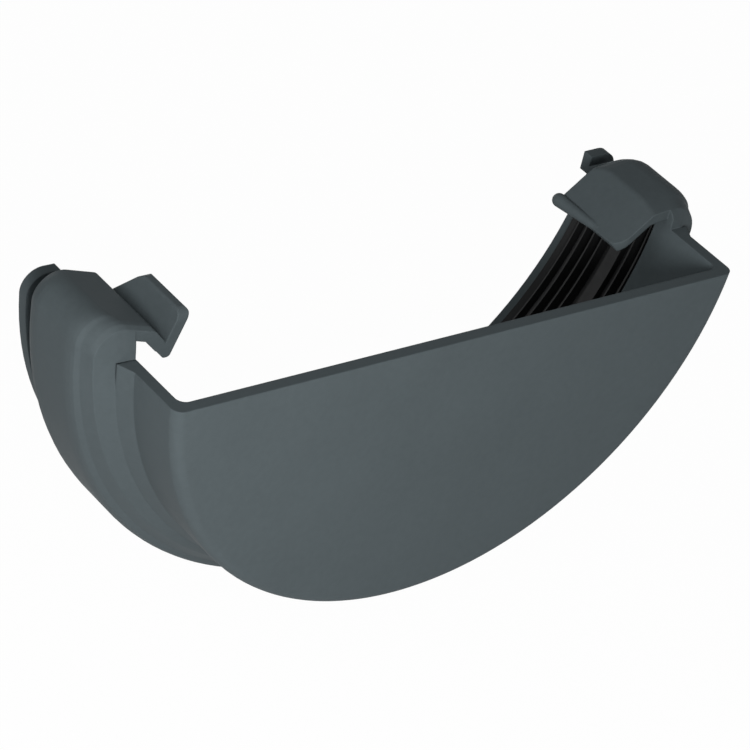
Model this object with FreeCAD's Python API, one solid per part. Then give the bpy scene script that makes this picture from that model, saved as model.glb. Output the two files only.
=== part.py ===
import FreeCAD, Part
import math
import os

# End cap that closes a half-round rain gutter from outside. A flat half-round
# plate shuts the gutter's end. Behind it a short wall steps out into a
# collar that goes round the outside of the gutter and holds a ribbed rubber seal.
# Above the rim each end of the collar turns inwards over the gutter's edge as
# a clip: one has a lifting tab, the other a long lip with a rolled edge.
#
# Frame: the origin is on the centre line of the gutter's half-round, midway
# along the flat land of the seal. +X runs across the gutter, +Y along it and out
# of the mouth, +Z up. Millimetres. Distances named "_y" below are from the
# plate's outer face; the finished solids are moved to the origin at the end.

os.makedirs("parts", exist_ok=True)

# End plate and the short wall behind it. The rim is the wall's top edge.
plate_radius = 56.0
rim_drop = 5.8
plate_wall = 2.1
plate_edge_round = 1.8
inner_corner_round = 1.6
side_of_opening = math.sqrt((plate_radius - plate_wall) ** 2 - rim_drop ** 2)

# Lengths from the plate's outer face to the mouth, one after the other.
short_wall_length = 11.2
step_foot_length = 2.8
clip_setback = 1.3
step_length = 3.6
crown_length = 3.4
level_length = 7.0
taper_length = 3.0
neck_length = 4.4
rib_length = 1.9
step_foot_y = short_wall_length
step_front_y = step_foot_y + step_foot_length
clip_near_y = step_front_y + clip_setback
crease_y = step_front_y + step_length
collar_crown_y = crease_y + crown_length
collar_taper_y = collar_crown_y + level_length
clip_far_y = collar_taper_y + taper_length
rib_near_y = clip_far_y + neck_length
mouth_y = rib_near_y + rib_length

# Step from the short wall out to the collar.
step_foot_rise = 1.4
crease_rise = 4.4

# Collar. The mouth's inside stands just outside the tips of the seal's ribs.
collar_rise = 6.5
collar_radius = plate_radius + collar_rise
collar_wall = 2.1
far_edge_drop = 0.8
mouth_wall = 1.5
mouth_gap = 0.8
rib_proud = 1.9
seal_depth = 4.9
seal_inner_radius = collar_radius - collar_wall - seal_depth
mouth_drop = collar_radius - mouth_wall - mouth_gap - seal_inner_radius

# Clips over the gutter's edges. A clip's top falls towards the middle of the
# gutter, then folds down into its lip. A "setback" across is measured inwards
# from the collar's largest radius, a "rise" upwards from the rim. Falls, lip
# angles and leans are in degrees. near_drop is how far the top has sunk at its
# near end and near_power how late it sinks, far_share is how much of the
# collar's taper the top follows, and corner_swell is how much of the side's
# drop the corners beside the clips hold back.
top_level_setback = 4.0
top_level_across = collar_radius - top_level_setback
fold_round = 1.6
mouth_fall = 1.0
corner_swell = 0.55

tab_top_rise = 6.55
tab_top_z = tab_top_rise - rim_drop
tab_top_fall = 17.5
tab_corner_of_top = 4.2
tab_far_share = 0.0
tab_fold_setback = 12.1
tab_fold_across = collar_radius - tab_fold_setback
tab_lip_length = 4.2
tab_lip_angle = 47.5
tab_near_drop = 4.4
tab_near_power = 9.7
tab_mouth_rise = 0.5
tab_mouth_z = tab_mouth_rise - rim_drop
tab_mouth_round = 1.3

hook_top_rise = 4.1
hook_top_z = hook_top_rise - rim_drop
hook_top_fall = 6.0
hook_corner_of_top = 5.5
hook_far_share = 1.0
hook_fold_setback = 11.5
hook_fold_across = collar_radius - hook_fold_setback
hook_lip_length = 9.3
hook_lip_angle = 39.0
hook_lip_wall = 1.3
hook_near_drop = 0.8
hook_near_power = 2.0
hook_mouth_below_rim = 0.6
hook_mouth_z = -rim_drop - hook_mouth_below_rim
hook_mouth_round = 0.4

# Lifting tab that stands up from the lip of the tab-side clip.
tab_edge_slope_length = 4.6
tab_foot_setback = 0.6
tab_far_foot_y = clip_far_y - tab_foot_setback
tab_long_edge_y = tab_far_foot_y - tab_edge_slope_length
tab_tip_reach = 6.7
tab_tip_across = tab_fold_across - tab_tip_reach
tab_tip_rise = 5.9
tab_tip_z = tab_tip_rise - rim_drop
tab_foot_below_rim = 2.1
tab_foot_z = -rim_drop - tab_foot_below_rim
tab_lean_angle = 18.0
tab_wall = 1.9
tab_near_round = 1.8
tab_far_round = 2.8
tab_tip_round = 0.6
tab_foot_round = 0.7
tab_foot_corner_round = 0.5
tab_root_round = 0.1
tab_root_length = 0.8
tab_root_depth = 0.15
tab_trim_above = 0.05
tab_trim_below = 3.0

# Rolled edge of the hook's lip, thick at the mouth end and thinning towards the plate.
roll_radius = 1.2
roll_near_radius = 0.72
roll_near_setback = 0.5
roll_near_y = collar_crown_y + roll_near_setback
roll_overhang = 1.0
roll_far_y = clip_far_y + roll_overhang
lip_corner_round = 2.6

# Rubber seal.
seal_near_gap = 0.8
seal_near_y = crease_y + seal_near_gap
seal_far_gap = 0.1
seal_far_y = rib_near_y - seal_far_gap
seal_rib_height = 1.9
seal_valley_radius = seal_inner_radius + seal_rib_height
seal_least_wall = 0.7
seal_land_setback = 2.4
seal_land_near_y = collar_crown_y + seal_land_setback
seal_land_width = 2.3
seal_land_depth = 0.5
seal_rib_pitch = 2.0
seal_rib_width = 0.7
seal_fit = 0.08
seal_end_below_rim = 2.5


def point(across, along, up):
    return FreeCAD.Vector(across, along, up)


def line(a, b):
    return Part.LineSegment(a, b).toShape()


def arc(a, middle, b):
    return Part.Arc(a, middle, b).toShape()


def side_drop(along):
    """How far the collar's outside lies below its largest radius."""
    crease_drop = collar_radius - plate_radius - crease_rise
    if along <= crease_y:
        front_drop = collar_radius - plate_radius - step_foot_rise
        share = (along - step_front_y) / (crease_y - step_front_y)
        return front_drop + (crease_drop - front_drop) * share
    if along < collar_crown_y:
        reach = (collar_crown_y - along) / (collar_crown_y - crease_y)
        return crease_drop * (1.0 - math.sqrt(1.0 - reach * reach))
    if along <= collar_taper_y:
        return 0.0
    if along <= clip_far_y:
        reach = (along - collar_taper_y) / (clip_far_y - collar_taper_y)
        return far_edge_drop * reach * reach
    reach = (along - clip_far_y) / (rib_near_y - clip_far_y)
    return far_edge_drop + (mouth_drop - far_edge_drop) * min(1.0, reach)


def collar_inside(along):
    """Radius of the collar's inside face, from the crown to the mouth."""
    if along <= clip_far_y:
        return collar_radius - side_drop(along) - collar_wall
    reach = min(1.0, (along - clip_far_y) / (rib_near_y - clip_far_y))
    near = collar_radius - far_edge_drop - collar_wall
    far = collar_radius - mouth_drop - mouth_wall
    return near + (far - near) * reach


class Clip:
    """One end of the collar, drawn with across positive, then put on its side."""

    def __init__(self, sign, top_z, top_fall, corner_round, fold_across, lip_length, lip_angle,
                 lip_wall, near_drop, near_power, far_share, mouth_z, mouth_round):
        self.sign = sign
        self.top_z = top_z
        self.fall = math.radians(top_fall)
        self.corner_round = corner_round
        self.fold_across = fold_across
        self.lip_length = lip_length
        self.lip_angle = math.radians(lip_angle)
        self.lip_wall = lip_wall
        self.near_drop = near_drop
        self.near_power = near_power
        self.far_share = far_share
        self.mouth_z = mouth_z
        self.mouth_round = mouth_round

    def top_drop(self, along):
        """How far the clip's top lies below its highest line."""
        if along < collar_crown_y:
            share = (collar_crown_y - along) / (collar_crown_y - step_front_y)
            return self.near_drop * share ** self.near_power
        return self.far_share * side_drop(along) if along <= clip_far_y else 0.0

    def top_line(self, along):
        """Height of the top's outside at top_level_across, and how steeply it falls."""
        if along <= clip_far_y:
            return self.top_z, self.fall
        return self.mouth_z, math.radians(mouth_fall)

    def top_height(self, across):
        return self.top_z - math.tan(self.fall) * (top_level_across - across)

    def fold(self, top, lip):
        """Where the top line and the lip line cross, moved in by top and lip."""
        turn = math.sin(self.lip_angle - self.fall)
        across = (lip * math.cos(self.fall) - top * math.cos(self.lip_angle)) / turn
        up = (lip * math.sin(self.fall) - top * math.sin(self.lip_angle)) / turn
        return self.fold_across + across, self.top_height(self.fold_across) + up

    def corner(self, radius, top_z, fall, drop, round_radius):
        """Centre of the arc that joins the collar to the clip's top."""
        reach = radius - round_radius
        slope = math.tan(fall)
        base = top_z - slope * top_level_across - (drop + round_radius) / math.cos(fall)
        a = 1.0 + slope * slope
        b = 2.0 * slope * base
        c = base * base - reach * reach
        across = (-b + math.sqrt(b * b - 4.0 * a * c)) / (2.0 * a)
        return across, base + slope * across

    def path(self, along, deeper, side, top, lip, cut_at):
        """Edges from the clip's free end to the round collar, each line moved in.
        With cut_at given there is no lip: the top ends at that distance across."""
        top_z, fall = self.top_line(along)
        radius = collar_radius - side
        round_radius = self.corner_round if along <= clip_far_y else self.mouth_round
        round_radius = max(0.3, round_radius - 1.2 * deeper)
        ca, cu = self.corner(radius, top_z, fall, top, round_radius)
        reach = math.hypot(ca, cu)
        on_round = (ca * radius / reach, cu * radius / reach)
        on_top = (ca - round_radius * math.sin(fall), cu + round_radius * math.cos(fall))
        mid_angle = 0.5 * (math.atan2(cu, ca) + math.pi / 2.0 + fall)
        on_corner = (ca + round_radius * math.cos(mid_angle), cu + round_radius * math.sin(mid_angle))
        if cut_at is not None:
            up = top_z - math.tan(fall) * (top_level_across - cut_at) - top / math.cos(fall)
            return [("line", (cut_at, up), on_top), ("arc", on_top, on_corner, on_round)]
        fa, fu = self.fold(top, lip)
        small = max(0.3, fold_round - lip)
        back = small * math.tan(0.5 * (self.lip_angle - self.fall))
        before = (fa - back * math.cos(self.lip_angle), fu - back * math.sin(self.lip_angle))
        after = (fa + back * math.cos(self.fall), fu + back * math.sin(self.fall))
        centre = (after[0] + small * math.sin(self.fall), after[1] - small * math.cos(self.fall))
        half = 0.5 * (self.fall + self.lip_angle)
        top_mid = (centre[0] - small * math.sin(half), centre[1] + small * math.cos(half))
        base_up = self.top_height(self.fold_across)
        end = (self.fold_across - self.lip_length * math.cos(self.lip_angle) + lip * math.sin(self.lip_angle),
               base_up - self.lip_length * math.sin(self.lip_angle) - lip * math.cos(self.lip_angle))
        return [("line", end, before), ("arc", before, top_mid, after),
                ("line", after, on_top), ("arc", on_top, on_corner, on_round)]

    def place(self, at, along):
        return point(self.sign * at[0], along, at[1])

    def shapes(self, edges, along):
        made = []
        for edge in edges:
            spots = [self.place(at, along) for at in edge[1:]]
            made.append(line(*spots) if edge[0] == "line" else arc(*spots))
        return made


tab_clip = Clip(-1, tab_top_z, tab_top_fall, tab_corner_of_top, tab_fold_across, tab_lip_length,
                tab_lip_angle, collar_wall, tab_near_drop, tab_near_power, tab_far_share,
                tab_mouth_z, tab_mouth_round)
hook_clip = Clip(1, hook_top_z, hook_top_fall, hook_corner_of_top, hook_fold_across, hook_lip_length,
                 hook_lip_angle, hook_lip_wall, hook_near_drop, hook_near_power, hook_far_share,
                 hook_mouth_z, hook_mouth_round)


def outline(along, deeper, cut_at=None):
    """Open line from clip to clip round the collar, moved in by deeper.
    On the inside the clips' tops sink only half as far as outside."""
    side = side_drop(along) + deeper
    upper_side = side
    if along < collar_crown_y:
        reach = min(1.0, (along - step_front_y) / (clip_near_y - step_front_y))
        upper_side = side - corner_swell * reach * side_drop(along)
    paths = []
    for clip in (tab_clip, hook_clip):
        top = clip.top_drop(along) + deeper
        if deeper > 0.5 and along < collar_crown_y:
            top -= 0.5 * clip.top_drop(along)
        lip = clip.lip_wall if deeper > 0.5 else 0.0
        paths.append(clip.path(along, deeper, upper_side, top, lip, cut_at))
    left, right = paths
    bottom = arc(tab_clip.place(left[-1][-1], along), point(0.0, along, side - collar_radius),
                 hook_clip.place(right[-1][-1], along))
    edges = tab_clip.shapes(left, along) + [bottom] + hook_clip.shapes(right, along)[::-1]
    return edges, tab_clip.place(left[0][1], along), hook_clip.place(right[0][1], along)


def section(along, wall, cut_at=None):
    """Closed outline of the collar's wall at one distance from the plate."""
    outer, start, finish = outline(along, 0.0, cut_at)
    inner, inner_start, inner_finish = outline(along, wall, cut_at)
    ends = [line(finish, inner_finish), line(inner_start, start)]
    return Part.Wire(Part.__sortEdges__(outer + inner + ends))


def between(low, high, steps):
    return [low + (high - low) * index / steps for index in range(steps + 1)]


def collar_near():
    """Collar with both clips, from the crease to the far ends of the clips."""
    stations = between(crease_y, collar_crown_y, 5)
    stations += between(collar_taper_y, clip_far_y, 3)
    wires = [section(along, collar_wall) for along in stations]
    return Part.makeLoft(wires, True, True)


def clip_fronts():
    """The parts of both clips that stand over the opening before the crease."""
    wires = [section(along, collar_wall) for along in between(clip_near_y, crease_y, 3)]
    solid = Part.makeLoft(wires, True, True)
    width = 2.0 * side_of_opening
    over = Part.makeBox(width, mouth_y, collar_radius, point(-side_of_opening, 0.0, -3.0 * rim_drop))
    return solid.common(over)


def collar_far():
    """Taper from the end of the clips to the mouth, open over the gutter."""
    wires = [
        section(clip_far_y, collar_wall, side_of_opening),
        section(rib_near_y, mouth_wall, side_of_opening),
        section(mouth_y, mouth_wall, side_of_opening)]
    return Part.makeLoft(wires, True, True)


def mouth_rib():
    """Raised rib round the outside of the mouth, cut square at both ends."""
    outer, start, finish = outline(mouth_y, -rib_proud, side_of_opening)
    inner, inner_start, inner_finish = outline(mouth_y, 0.4, side_of_opening)
    ends = [line(finish, inner_finish), line(inner_start, start)]
    wire = Part.Wire(Part.__sortEdges__(outer + inner + ends))
    return Part.Face(wire).extrude(FreeCAD.Vector(0, rib_near_y - mouth_y, 0))


def half_turn(spots):
    """Turn a closed line of (radius, along) points half round, below the axis."""
    wire = Part.makePolygon([point(r, a, 0.0) for r, a in spots + spots[:1]])
    face = Part.Face(wire)
    return face.revolve(FreeCAD.Vector(0, 0, 0), FreeCAD.Vector(0, 1, 0), 180.0)


def above_rim():
    size = 2.2 * collar_radius
    return Part.makeBox(size, step_front_y, size, point(-0.5 * size, 0.0, -rim_drop))


def end_plate():
    """Plate, short wall and the foot of the step, open at the top."""
    edge = Part.makePolygon([
        point(0.0, 0.0, 0.0),
        point(plate_radius - plate_edge_round, 0.0, 0.0)])
    rounded = arc(point(plate_radius - plate_edge_round, 0.0, 0.0),
                  point(plate_radius - plate_edge_round * (1.0 - math.sqrt(0.5)),
                        plate_edge_round * (1.0 - math.sqrt(0.5)), 0.0),
                  point(plate_radius, plate_edge_round, 0.0))
    inside = plate_radius - plate_wall
    outer = Part.makePolygon([
        point(plate_radius, plate_edge_round, 0.0),
        point(plate_radius, step_foot_y, 0.0),
        point(plate_radius + step_foot_rise, step_front_y, 0.0),
        point(inside, step_front_y, 0.0),
        point(inside, plate_wall + inner_corner_round, 0.0)])
    fillet = arc(point(inside, plate_wall + inner_corner_round, 0.0),
                 point(inside - inner_corner_round * (1.0 - math.sqrt(0.5)),
                       plate_wall + inner_corner_round * (1.0 - math.sqrt(0.5)), 0.0),
                 point(inside - inner_corner_round, plate_wall, 0.0))
    close = Part.makePolygon([
        point(inside - inner_corner_round, plate_wall, 0.0),
        point(0.0, plate_wall, 0.0),
        point(0.0, 0.0, 0.0)])
    edges = edge.Edges + [rounded] + outer.Edges + [fillet] + close.Edges
    face = Part.Face(Part.Wire(Part.__sortEdges__(edges)))
    solid = face.revolve(FreeCAD.Vector(0, 0, 0), FreeCAD.Vector(0, 1, 0), 180.0)
    return solid.cut(above_rim())


def step():
    """Solid step from the short wall out to the collar, closed above the rim."""
    wires = []
    for along in [step_front_y] + between(clip_near_y, crease_y, 3):
        edges, start, finish = outline(along, 0.0, side_of_opening - tab_corner_of_top)
        wires.append(Part.Wire(Part.__sortEdges__(edges + [line(finish, start)])))
    solid = Part.makeLoft(wires, True, True)
    return solid.cut(opening())


def opening():
    """Space inside the short wall, carried straight up above the rim."""
    low_left = point(-side_of_opening, step_front_y, -rim_drop)
    low_right = point(side_of_opening, step_front_y, -rim_drop)
    high_left = point(-side_of_opening, step_front_y, collar_radius)
    high_right = point(side_of_opening, step_front_y, collar_radius)
    round_side = arc(low_left, point(0.0, step_front_y, plate_wall - plate_radius), low_right)
    sides = [line(low_right, high_right), line(high_right, high_left), line(high_left, low_left)]
    wire = Part.Wire([round_side] + sides)
    return Part.Face(wire).extrude(FreeCAD.Vector(0, 2.0 * (crease_y - step_front_y), 0))


def rounded_outline(spots, radii):
    """Closed outline through points, each corner rounded by its own radius."""
    count = len(spots)
    edges = []
    joins = []
    for index in range(count):
        before = spots[index - 1]
        here = spots[index]
        after = spots[(index + 1) % count]
        back = (before - here).normalize()
        ahead = (after - here).normalize()
        angle = back.getAngle(ahead)
        reach = radii[index] / math.tan(0.5 * angle)
        enter = here + back * reach
        leave = here + ahead * reach
        bisector = (back + ahead).normalize()
        centre = here + bisector * (radii[index] / math.sin(0.5 * angle))
        middle = centre - bisector * radii[index]
        joins.append((enter, middle, leave))
    for index in range(count):
        enter, middle, leave = joins[index]
        edges.append(arc(enter, middle, leave))
        edges.append(line(leave, joins[(index + 1) % count][0]))
    return Part.Wire(edges)


def along_lip(clip, distance, depth):
    """Point on a clip's lip: distance down from the fold, depth under its face."""
    angle = clip.lip_angle
    across = clip.fold_across - distance * math.cos(angle) + depth * math.sin(angle)
    up = clip.top_height(clip.fold_across) - distance * math.sin(angle) - depth * math.cos(angle)
    return across, up


def lifting_tab():
    """Tab that stands up from the lip, with a sloping edge at the mouth end."""
    lean = math.tan(math.radians(tab_lean_angle))
    width = tab_wall / math.cos(math.radians(tab_lean_angle))
    inner_foot = tab_tip_across + lean * (tab_tip_z - tab_foot_z)
    tip_outer = tab_tip_across + width
    root = tab_lip_length - tab_root_length
    heel = along_lip(tab_clip, root, collar_wall - tab_root_depth)
    heel_top = along_lip(tab_clip, root, tab_root_depth)
    slope = math.tan(tab_clip.lip_angle)
    valley_up = heel_top[1] - slope * (heel_top[0] - tip_outer - lean * tab_tip_z)
    valley_up = valley_up / (1.0 + slope * lean)
    valley = (tip_outer + lean * (tab_tip_z - valley_up), valley_up)
    outer_foot = heel[0] - (heel[1] - tab_foot_z) / slope
    spots = [
        (tab_tip_across, tab_tip_z),
        (inner_foot, tab_foot_z),
        (outer_foot, tab_foot_z),
        heel,
        heel_top,
        valley,
        (tip_outer, tab_tip_z)]
    radii = [tab_tip_round, tab_foot_round, tab_foot_round, tab_root_round,
             tab_root_round, tab_root_round, tab_tip_round]
    wire = rounded_outline([point(-a, clip_near_y, u) for a, u in spots], radii)
    solid = Part.Face(wire).extrude(FreeCAD.Vector(0, clip_far_y - clip_near_y, 0))
    below = tab_foot_z - tab_trim_below
    above = tab_tip_z + tab_trim_above
    side_spots = [
        point(-collar_radius, clip_near_y, below),
        point(-collar_radius, clip_far_y, below),
        point(-collar_radius, tab_far_foot_y, valley[1]),
        point(-collar_radius, tab_long_edge_y, above),
        point(-collar_radius, clip_near_y, above)]
    side_radii = [tab_foot_corner_round] * 3 + [tab_far_round, tab_near_round]
    side_wire = rounded_outline(side_spots, side_radii)
    side = Part.Face(side_wire).extrude(FreeCAD.Vector(collar_radius, 0, 0))
    return solid.common(side)


def hook_roll():
    """Rolled edge along the hook's lip."""
    far_at = along_lip(hook_clip, hook_lip_length, 0.0)
    near_at = along_lip(hook_clip, hook_lip_length - roll_near_radius, 0.5 * hook_lip_wall)
    far = point(far_at[0], roll_far_y - roll_radius, far_at[1])
    near = point(near_at[0], roll_near_y, near_at[1])
    run = near - far
    tangent = 90.0 - math.degrees(math.asin((roll_radius - roll_near_radius) / run.Length))
    spots = [on_circle(0.0, roll_radius, angle) for angle in (180.0, 135.0, tangent)]
    spots += [on_circle(run.Length, roll_near_radius, angle) for angle in (tangent, 45.0, 0.0)]
    edges = [arc(*spots[:3]), line(spots[2], spots[3]), arc(*spots[3:]), line(spots[5], spots[0])]
    solid = Part.Face(Part.Wire(edges)).revolve(point(0, 0, 0), point(1, 0, 0), 360.0)
    solid.Placement = FreeCAD.Placement(far, FreeCAD.Rotation(point(1, 0, 0), run))
    return solid


def on_circle(centre, radius, angle):
    turned = math.radians(angle)
    return point(centre + radius * math.cos(turned), 0.0, radius * math.sin(turned))


def lip_corner_cut():
    """Rounds the near corner of the hook's lip."""
    across, up = along_lip(hook_clip, hook_lip_length, 0.0)
    r = lip_corner_round
    half_height = hook_lip_length * math.sin(hook_clip.lip_angle)
    height = 2.0 * half_height
    low = up - half_height
    block = Part.makeBox(r + r, r + r, height, point(across - r, clip_near_y - r, low))
    keep = Part.makeCylinder(r, height, point(across + r, clip_near_y + r, low))
    return block.cut(keep)


def end_cap_body():
    """The one-piece moulding."""
    body = collar_near().fuse(clip_fronts()).cut(lip_corner_cut())
    for piece in (collar_far(), mouth_rib(), step(), end_plate(), lifting_tab(), hook_roll()):
        body = body.fuse(piece)
    return body


def seal_back(along):
    """Radius of the seal's outside, just clear of the collar's inside."""
    return collar_inside(along) - seal_fit


def seal_valley(along):
    return min(seal_valley_radius, seal_back(along) - seal_least_wall)


def gutter_seal():
    """Half-round rubber seal: ribs on both sides of a flat land."""
    tips = seal_inner_radius
    land_end = seal_land_near_y + seal_land_width
    land = tips + seal_land_depth
    half = 0.5 * seal_rib_width
    front = [(seal_valley(seal_near_y), seal_near_y)]
    along = seal_near_y + 0.5 * seal_rib_pitch
    while along < seal_land_near_y - seal_rib_pitch + half:
        valley = seal_valley(along)
        front += [(valley, along - half), (tips, along - 0.4 * half),
                  (tips, along + 0.4 * half), (valley, along + half)]
        along += seal_rib_pitch
    front += [(seal_valley(seal_land_near_y), seal_land_near_y), (land, seal_land_near_y),
              (land, land_end), (seal_valley(land_end), land_end)]
    along = land_end + seal_rib_pitch
    while along < seal_far_y - half:
        front += [(seal_valley(along - half), along - half), (tips, along - 0.4 * half),
                  (tips, along + 0.4 * half), (seal_valley(along + half), along + half)]
        along += seal_rib_pitch
    front.append((seal_valley(seal_far_y), seal_far_y))
    back = [(seal_back(along), along)
            for along in (seal_far_y, clip_far_y, 0.5 * (clip_far_y + collar_taper_y), collar_taper_y)]
    back += [(seal_back(along), along) for along in between(collar_crown_y, seal_near_y, 3)]
    solid = half_turn(front + back)
    size = 2.2 * collar_radius
    top = -rim_drop - seal_end_below_rim
    lid = Part.makeBox(size, mouth_y, size, point(-0.5 * size, 0.0, top))
    return solid.cut(lid)


def write(name, shape):
    shape.translate(FreeCAD.Vector(0, -(seal_land_near_y + 0.5 * seal_land_width), 0))
    solids = shape.Solids
    result = solids[0] if len(solids) == 1 else shape
    print(name, "solids", len(solids), "valid", shape.isValid(), "volume", round(shape.Volume, 1))
    result.exportStep(os.path.join("parts", name + ".step"))


write("end_cap_body", end_cap_body())
write("gutter_seal", gutter_seal())
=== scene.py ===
import bpy
from mathutils import Matrix, Vector


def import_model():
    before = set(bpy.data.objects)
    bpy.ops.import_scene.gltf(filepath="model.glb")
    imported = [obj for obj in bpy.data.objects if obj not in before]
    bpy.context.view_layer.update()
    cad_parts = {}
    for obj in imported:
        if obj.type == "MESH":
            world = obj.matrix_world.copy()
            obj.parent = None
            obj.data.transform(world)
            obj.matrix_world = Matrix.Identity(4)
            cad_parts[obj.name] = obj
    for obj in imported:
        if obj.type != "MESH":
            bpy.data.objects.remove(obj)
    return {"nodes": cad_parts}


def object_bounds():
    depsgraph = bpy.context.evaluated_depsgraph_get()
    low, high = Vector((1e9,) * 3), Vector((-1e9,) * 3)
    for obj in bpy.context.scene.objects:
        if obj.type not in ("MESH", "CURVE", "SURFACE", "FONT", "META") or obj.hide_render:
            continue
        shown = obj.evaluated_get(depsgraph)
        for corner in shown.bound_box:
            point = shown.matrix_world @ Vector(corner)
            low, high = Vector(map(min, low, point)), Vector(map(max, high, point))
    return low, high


# Gutter end cap: one grey PVC moulding and one black rubber seal. Both shapes
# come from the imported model; this scene gives them their materials, the light,
# the floor and the photograph's camera. Lengths are in metres, colours linear.

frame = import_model()
cad_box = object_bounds()

MOULDING = "end_cap_body"
SEAL = "gutter_seal"

# The photograph's camera, in the part's frame.
EYE = Vector((-0.35615, -0.36886, 0.30827))
VIEW_RIGHT = Vector((0.78499, -0.58627, 0.20020))
VIEW_UP = Vector((0.20191, 0.54763, 0.81199))
VIEW_BACK = Vector((-0.58568, -0.59698, 0.54826))
FOCAL_LENGTH_PX = 3798.6
IMAGE_PX = 750
SENSOR_MM = 36.0
NEAREST_SEEN = 0.01
FARTHEST_SEEN = 20.0

# Sizes of the noise in both materials.
GRAIN_SIZE = 0.0013
MOTTLE_SIZE = 0.012
FLOW_SIZE = 0.030

# Plastic. Tones multiply the colour; each pair is the lowest and highest value.
PVC_COLOUR = (0.081, 0.099, 0.106)
PVC_MOTTLE_TONE = (0.97, 1.03)
PVC_FLOW_TONE = (0.98, 1.02)
PVC_GRAIN_TONE = (0.965, 1.035)
PVC_ROUGHNESS = (0.54, 0.62)
PVC_GRAIN_ROUGHNESS = (-0.03, 0.03)
PVC_IOR = 1.52
PVC_SPECULAR = 0.035
PVC_GRAIN_BUMP = {"Strength": 0.10, "Distance": 0.00003}
PVC_MOTTLE_BUMP = {"Strength": 0.25, "Distance": 0.00012}

# Corners of the plastic: rounded in the shading and painted a little paler as a
# painted highlight. The facings are how far a shaded corner's normal agrees with the surface's own.
EDGE_SOFTNESS = 0.00035
EDGE_SAMPLES = 6
EDGE_HIGHLIGHT_PALING = 0.20
FLAT_FACING = 0.995
CORNER_FACING = 0.85

# Rubber.
RUBBER_COLOUR = (0.015, 0.0155, 0.016)
RUBBER_BLOOM_TONE = (0.8, 1.25)
RUBBER_ROUGHNESS = (0.50, 0.64)
RUBBER_GRAIN_ROUGHNESS = (-0.04, 0.04)
RUBBER_IOR = 1.5
RUBBER_SPECULAR = 0.22
RUBBER_GRAIN_BUMP = {"Strength": 0.2, "Distance": 0.00005}

# Noise values lie around one half; this is the stretch of them that is used.
NOISE_LOW = 0.3
NOISE_HIGH = 0.7

# Studio: a soft light that is strongest from the left front, a white backdrop
# and floor, and three lamps given by name, direction from the part, distance,
# side length and power in watts.
WHITE = (1.0, 1.0, 1.0, 1.0)
SKY_SIDE = Vector((-0.75, -0.60, 0.25)).normalized()
SKY_FACING = (-0.2, 1.0)
SKY_STRENGTH = (0.01, 0.30)
FLOOR_HALF_WIDTH = 3.0
FLOOR_COLOUR = (0.8, 0.8, 0.8, 1.0)
FLOOR_WHITE_SHARE = 0.98
LAMPS = [
    ("key", (-0.54, -0.83, 0.27), 0.33, 0.12, 0.86),
    ("side", (-0.88, 0.04, 0.50), 0.34, 0.20, 0.23),
    ("back", (0.20, 1.00, 0.00), 0.50, 0.10, 0.60)]


class Nodes:
    """Shorthand for building a node tree from empty."""

    def __init__(self, tree):
        self.tree = tree
        self.tree.nodes.clear()

    def add(self, kind, inputs, **settings):
        """Add a node; each input is either another node's output or a value."""
        node = self.tree.nodes.new(kind)
        for key, value in settings.items():
            setattr(node, key, value)
        for key, value in inputs.items():
            if isinstance(value, bpy.types.NodeSocket):
                self.tree.links.new(value, node.inputs[key])
            else:
                node.inputs[key].default_value = value
        return node

    def math(self, operation, *values):
        node = self.add("ShaderNodeMath", dict(enumerate(values)), operation=operation)
        return node.outputs["Value"]

    def ranged(self, value, start, end):
        """Move a value from the range start to the range end, and clamp it."""
        node = self.add("ShaderNodeMapRange", {
            "Value": value, "From Min": start[0], "From Max": start[1],
            "To Min": end[0], "To Max": end[1]})
        return node.outputs["Result"]

    def spread(self, noise, end):
        return self.ranged(noise, (NOISE_LOW, NOISE_HIGH), end)

    def noise(self, size, detail, roughness=0.55):
        place = self.add("ShaderNodeTexCoord", {}).outputs["Object"]
        node = self.add("ShaderNodeTexNoise", {
            "Vector": place, "Scale": 1.0 / size, "Detail": detail, "Roughness": roughness})
        return node.outputs["Fac"]

    def dot(self, first, second):
        node = self.add("ShaderNodeVectorMath", {0: first, 1: second}, operation="DOT_PRODUCT")
        return node.outputs["Value"]

    def toned(self, colour, tone):
        node = self.add("ShaderNodeVectorMath", {0: colour, "Scale": tone}, operation="SCALE")
        return node.outputs["Vector"]

    def bump(self, height, amounts, **normal):
        node = self.add("ShaderNodeBump", {"Height": height, **amounts, **normal})
        return node.outputs["Normal"]

    def rounded_normal(self):
        node = self.add("ShaderNodeBevel", {"Radius": EDGE_SOFTNESS}, samples=EDGE_SAMPLES)
        return node.outputs["Normal"]

    def mixed(self, share, first, second):
        node = self.add("ShaderNodeMixShader", {"Fac": share, 1: first, 2: second})
        return node.outputs["Shader"]

    def seen_directly(self):
        """One for rays from the camera, off gloss or through glass; else zero."""
        rays = self.add("ShaderNodeLightPath", {}).outputs
        seen = self.math("MAXIMUM", rays["Is Camera Ray"], rays["Is Glossy Ray"])
        return self.math("MAXIMUM", seen, rays["Is Transmission Ray"])


def new_material(name):
    material = bpy.data.materials.new(name)
    material.use_nodes = True
    return material, Nodes(material.node_tree)


def into_scene(name, data):
    obj = bpy.data.objects.new(name, data)
    bpy.context.scene.collection.objects.link(obj)
    return obj


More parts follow.
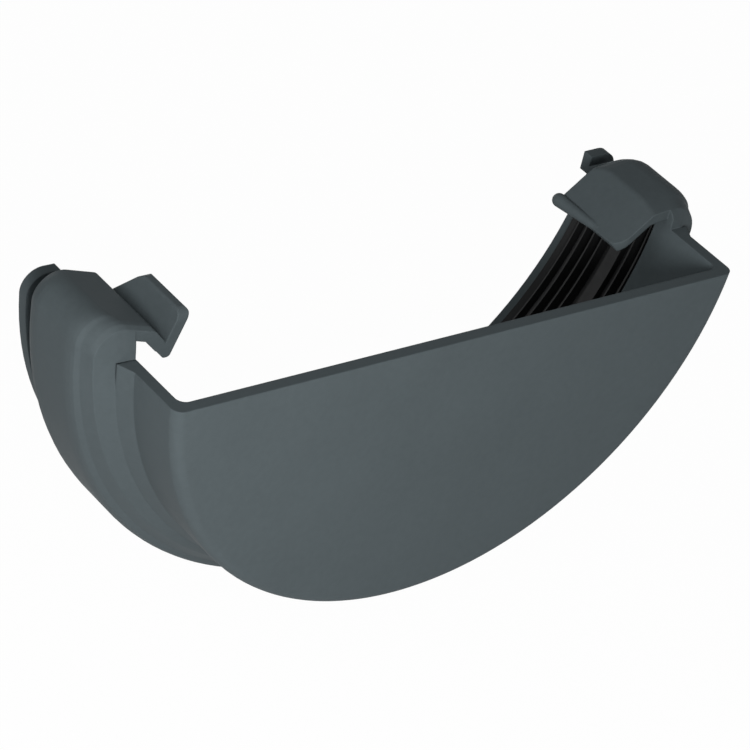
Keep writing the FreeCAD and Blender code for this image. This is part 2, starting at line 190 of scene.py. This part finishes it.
def moulded_pvc():
    """Satin grey plastic with slight changes of tone and a painted highlight on its corners."""
    material, nodes = new_material("moulded_pvc")
    grain = nodes.noise(GRAIN_SIZE, detail=2.0)
    mottle = nodes.noise(MOTTLE_SIZE, detail=4.0, roughness=0.6)
    flow = nodes.noise(FLOW_SIZE, detail=2.0)
    surface_normal = nodes.add("ShaderNodeNewGeometry", {}).outputs["Normal"]
    facing = nodes.dot(surface_normal, nodes.rounded_normal())
    # Mask of the corners and creases, where the colour gets a painted highlight.
    corners = nodes.ranged(facing, (FLAT_FACING, CORNER_FACING), (0.0, 1.0))

    tone = nodes.math("MULTIPLY", nodes.spread(mottle, PVC_MOTTLE_TONE),
                      nodes.spread(flow, PVC_FLOW_TONE))
    tone = nodes.math("MULTIPLY", tone, nodes.spread(grain, PVC_GRAIN_TONE))
    # Painted highlight: the colour is made paler on the corners.
    tone = nodes.math("MULTIPLY", tone, nodes.math("MULTIPLY_ADD", corners, EDGE_HIGHLIGHT_PALING, 1.0))
    roughness = nodes.math("ADD", nodes.spread(mottle, PVC_ROUGHNESS),
                           nodes.spread(grain, PVC_GRAIN_ROUGHNESS))
    normal = nodes.bump(grain, PVC_GRAIN_BUMP, Normal=nodes.rounded_normal())
    normal = nodes.bump(mottle, PVC_MOTTLE_BUMP, Normal=normal)
    shader = nodes.add("ShaderNodeBsdfPrincipled", {
        "Base Color": nodes.toned(PVC_COLOUR, tone),
        "Roughness": roughness,
        "Normal": normal,
        "IOR": PVC_IOR,
        "Specular IOR Level": PVC_SPECULAR})
    nodes.add("ShaderNodeOutputMaterial", {"Surface": shader.outputs["BSDF"]})
    return material


def seal_rubber():
    """Dull black rubber with a faint bloom."""
    material, nodes = new_material("seal_rubber")
    grain = nodes.noise(GRAIN_SIZE, detail=3.0)
    bloom = nodes.noise(MOTTLE_SIZE, detail=4.0)
    roughness = nodes.math("ADD", nodes.spread(bloom, RUBBER_ROUGHNESS),
                           nodes.spread(grain, RUBBER_GRAIN_ROUGHNESS))
    shader = nodes.add("ShaderNodeBsdfPrincipled", {
        "Base Color": nodes.toned(RUBBER_COLOUR, nodes.spread(bloom, RUBBER_BLOOM_TONE)),
        "Roughness": roughness,
        "Normal": nodes.bump(grain, RUBBER_GRAIN_BUMP),
        "IOR": RUBBER_IOR,
        "Specular IOR Level": RUBBER_SPECULAR})
    nodes.add("ShaderNodeOutputMaterial", {"Surface": shader.outputs["BSDF"]})
    return material


def assign(node_name, material):
    obj = frame["nodes"][node_name]
    for slot in obj.material_slots:
        slot.material = material


def camera():
    data = bpy.data.cameras.new("photo_camera")
    data.sensor_fit = "HORIZONTAL"
    data.sensor_width = SENSOR_MM
    data.lens = FOCAL_LENGTH_PX / IMAGE_PX * SENSOR_MM
    data.clip_start = NEAREST_SEEN
    data.clip_end = FARTHEST_SEEN
    obj = into_scene("photo_camera", data)
    turn = Matrix((VIEW_RIGHT, VIEW_UP, VIEW_BACK)).transposed().to_4x4()
    obj.matrix_world = Matrix.Translation(EYE) @ turn
    bpy.context.scene.camera = obj


def area_light(name, direction, distance, side, power):
    """Soft square lamp that looks at the part from a direction."""
    data = bpy.data.lights.new(name, "AREA")
    data.shape = "SQUARE"
    data.size = side
    data.energy = power
    obj = into_scene(name, data)
    away = Vector(direction).normalized()
    obj.location = away * distance
    obj.rotation_euler = away.to_track_quat("Z", "Y").to_euler()


def world():
    """White where it is seen, and otherwise a soft light from the left front."""
    made = bpy.data.worlds.new("studio")
    bpy.context.scene.world = made
    made.use_nodes = True
    nodes = Nodes(made.node_tree)
    direction = nodes.add("ShaderNodeTexCoord", {}).outputs["Generated"]
    strength = nodes.ranged(nodes.dot(direction, SKY_SIDE), SKY_FACING, SKY_STRENGTH)
    light = nodes.add("ShaderNodeBackground", {"Color": WHITE, "Strength": strength})
    white = nodes.add("ShaderNodeBackground", {"Color": WHITE, "Strength": 1.0})
    surface = nodes.mixed(nodes.seen_directly(), light.outputs["Background"],
                          white.outputs["Background"])
    nodes.add("ShaderNodeOutputWorld", {"Surface": surface})


def floor():
    """Plain white floor at the part's lowest point, keeping a faint shadow."""
    half = FLOOR_HALF_WIDTH
    level = cad_box[0][2]
    corners = [(-half, -half, level), (half, -half, level), (half, half, level), (-half, half, level)]
    mesh = bpy.data.meshes.new("floor")
    mesh.from_pydata(corners, [], [(0, 1, 2, 3)])
    obj = into_scene("floor", mesh)
    material, nodes = new_material("white_floor")
    matte = nodes.add("ShaderNodeBsdfDiffuse", {"Color": FLOOR_COLOUR})
    white = nodes.add("ShaderNodeEmission", {"Color": WHITE, "Strength": 1.0})
    share = nodes.math("MULTIPLY", nodes.seen_directly(), FLOOR_WHITE_SHARE)
    surface = nodes.mixed(share, matte.outputs["BSDF"], white.outputs["Emission"])
    nodes.add("ShaderNodeOutputMaterial", {"Surface": surface})
    mesh.materials.append(material)


assign(MOULDING, moulded_pvc())
assign(SEAL, seal_rubber())
camera()
world()
floor()
for lamp in LAMPS:
    area_light(*lamp)

bpy.context.scene.view_settings.view_transform = "Standard"
